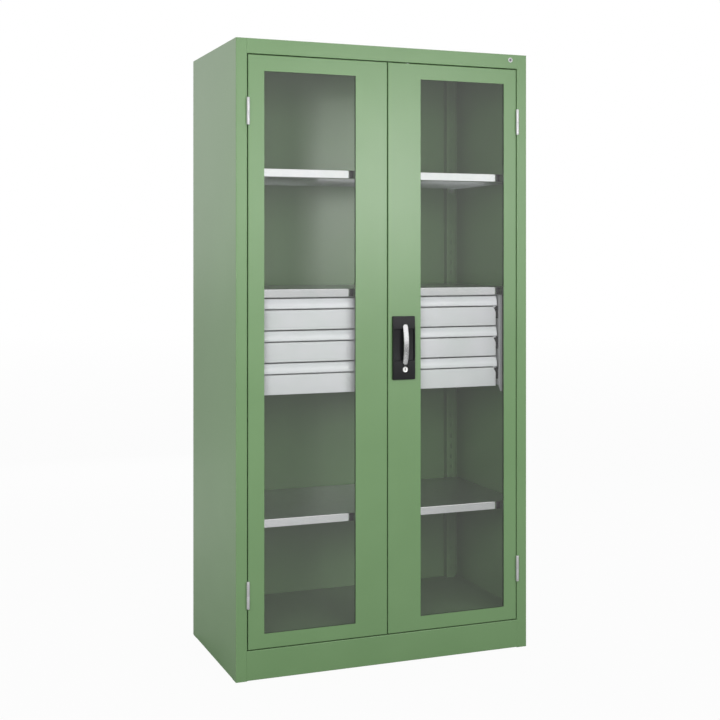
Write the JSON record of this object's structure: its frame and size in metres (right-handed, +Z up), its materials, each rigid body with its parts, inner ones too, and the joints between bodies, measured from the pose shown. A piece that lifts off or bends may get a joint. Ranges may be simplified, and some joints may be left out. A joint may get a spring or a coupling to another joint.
{
  "type": "heavy-duty cabinet with glazed doors",
  "caption": "Tall steel cupboard with two glazed hinged doors, rod lock with bow handle, adjustable shelves and a block of shallow full-width drawers.",
  "frame": {"origin": "centre of the overall box at floor level, handle included", "axes": "+X to the right seen from the front, +Y from the doors to the back wall, +Z up"},
  "size_m": [1, 0.5242, 1.95],
  "materials": {
    "green_paint": "satin reseda green powder coat on sheet steel",
    "grey_paint": "satin light grey powder coat on sheet steel",
    "grip_grey": "satin light grey coated grip strip",
    "clear_acrylic": "clear acrylic sheet",
    "black_rubber": "black sealing strip",
    "aluminium_profile": "mill aluminium glazing frame",
    "hinge_zinc": "pale zinc-plated hinge barrel",
    "bright_zinc": "bright zinc-plated steel",
    "galvanised_sheet": "bright galvanised sheet steel",
    "black_plastic": "fine-grained black moulded plastic",
    "silver_handle": "satin silver die-cast handle",
    "nickel_plate": "nickel-plated lock cylinder",
    "badge_aluminium": "plain satin aluminium disc"
  },
  "bodies": {
    "carcass": {"left_side_panel": "green_paint", "right_side_panel": "green_paint", "back_panel": "green_paint", "top_cap": "green_paint", "floor_panel": "green_paint", "plinth_panel": "green_paint", "base_brackets": "green_paint", "levelling_feet": "black_plastic", "left_front_upright": "green_paint", "right_front_upright": "green_paint", "left_rear_upright": "green_paint", "right_rear_upright": "green_paint", "bottom_shelf": "galvanised_sheet", "middle_shelf": "galvanised_sheet", "top_shelf": "galvanised_sheet", "shelf_hooks": "galvanised_sheet", "frame_hinge_knuckles": "hinge_zinc", "hinge_pins": "bright_zinc", "rod_keepers": "bright_zinc", "left_housing_plate": "grey_paint", "right_housing_plate": "grey_paint", "housing_bolts": "bright_zinc", "housing_tie": "grey_paint", "fixed_slides": "bright_zinc", "badge": "badge_aluminium"},
    "left_door": {"left_door_shell": "green_paint", "left_door_pane": "clear_acrylic", "left_door_gasket": "black_rubber", "left_door_retainer": "aluminium_profile", "left_hinge_knuckles": "hinge_zinc", "left_door_stop_strip": "green_paint"},
    "right_door": {"right_door_shell": "green_paint", "right_door_pane": "clear_acrylic", "right_door_gasket": "black_rubber", "right_door_retainer": "aluminium_profile", "right_hinge_knuckles": "hinge_zinc", "lock_plate": "black_plastic", "lock_case": "bright_zinc", "rod_guides": "black_plastic", "key_cylinder": "nickel_plate"},
    "handle": {"handle_bow": "silver_handle", "handle_spindle": "bright_zinc", "lock_pinion": "bright_zinc"},
    "key": {"key_plug": "nickel_plate"},
    "upper_rod": {"upper_rod": "bright_zinc"},
    "lower_rod": {"lower_rod": "bright_zinc"},
    "drawer_1": {"drawer_1_tray": "grey_paint", "drawer_1_front": "grey_paint", "drawer_1_grip": "grip_grey", "drawer_1_runners": "bright_zinc"},
    "drawer_2": {"drawer_2_tray": "grey_paint", "drawer_2_front": "grey_paint", "drawer_2_grip": "grip_grey", "drawer_2_runners": "bright_zinc"},
    "drawer_3": {"drawer_3_tray": "grey_paint", "drawer_3_front": "grey_paint", "drawer_3_grip": "grip_grey", "drawer_3_runners": "bright_zinc"}
  },
  "joints": [
    {"name": "right_door_swing", "type": "hinge", "parent": "carcass", "child": "right_door", "pos_m": [0.463, -0.24325, 0.26], "axis": [0, 0, 1], "range_deg": [0, 180]},
    {"name": "left_door_swing", "type": "hinge", "parent": "carcass", "child": "left_door", "pos_m": [-0.463, -0.24325, 0.26], "axis": [0, 0, 1], "range_deg": [-180, 0]},
    {"name": "handle_turn", "type": "hinge", "parent": "right_door", "child": "handle", "pos_m": [0.057, -0.23785, 1.064], "axis": [0, -1, 0], "range_deg": [0, 90]},
    {"name": "key_turn", "type": "hinge", "parent": "right_door", "child": "key", "pos_m": [0.057, -0.23785, 0.929], "axis": [0, -1, 0], "range_deg": [0, 90]},
    {"name": "upper_rod_slide", "type": "slide", "parent": "right_door", "child": "upper_rod", "axis": [0, 0, 1], "range_m": [0, 0.0142]},
    {"name": "lower_rod_slide", "type": "slide", "parent": "right_door", "child": "lower_rod", "axis": [0, 0, -1], "range_m": [0, 0.0142]},
    {"name": "drawer_1_slide", "type": "slide", "parent": "carcass", "child": "drawer_1", "axis": [0, -1, 0], "range_m": [0, 0.3]},
    {"name": "drawer_2_slide", "type": "slide", "parent": "carcass", "child": "drawer_2", "axis": [0, -1, 0], "range_m": [0, 0.3]},
    {"name": "drawer_3_slide", "type": "slide", "parent": "carcass", "child": "drawer_3", "axis": [0, -1, 0], "range_m": [0, 0.3]}
  ],
  "couplings": [
    {"joint": "left_door_swing", "follows": "right_door_swing", "ratio": -0.9},
    {"joint": "upper_rod_slide", "follows": "handle_turn", "m_per_rad": 0.009},
    {"joint": "lower_rod_slide", "follows": "handle_turn", "m_per_rad": 0.009},
    {"joint": "drawer_1_slide", "follows": "right_door_swing", "m_per_rad": 0.057},
    {"joint": "drawer_2_slide", "follows": "right_door_swing", "m_per_rad": 0.057},
    {"joint": "drawer_3_slide", "follows": "right_door_swing", "m_per_rad": 0.057}
  ]
}
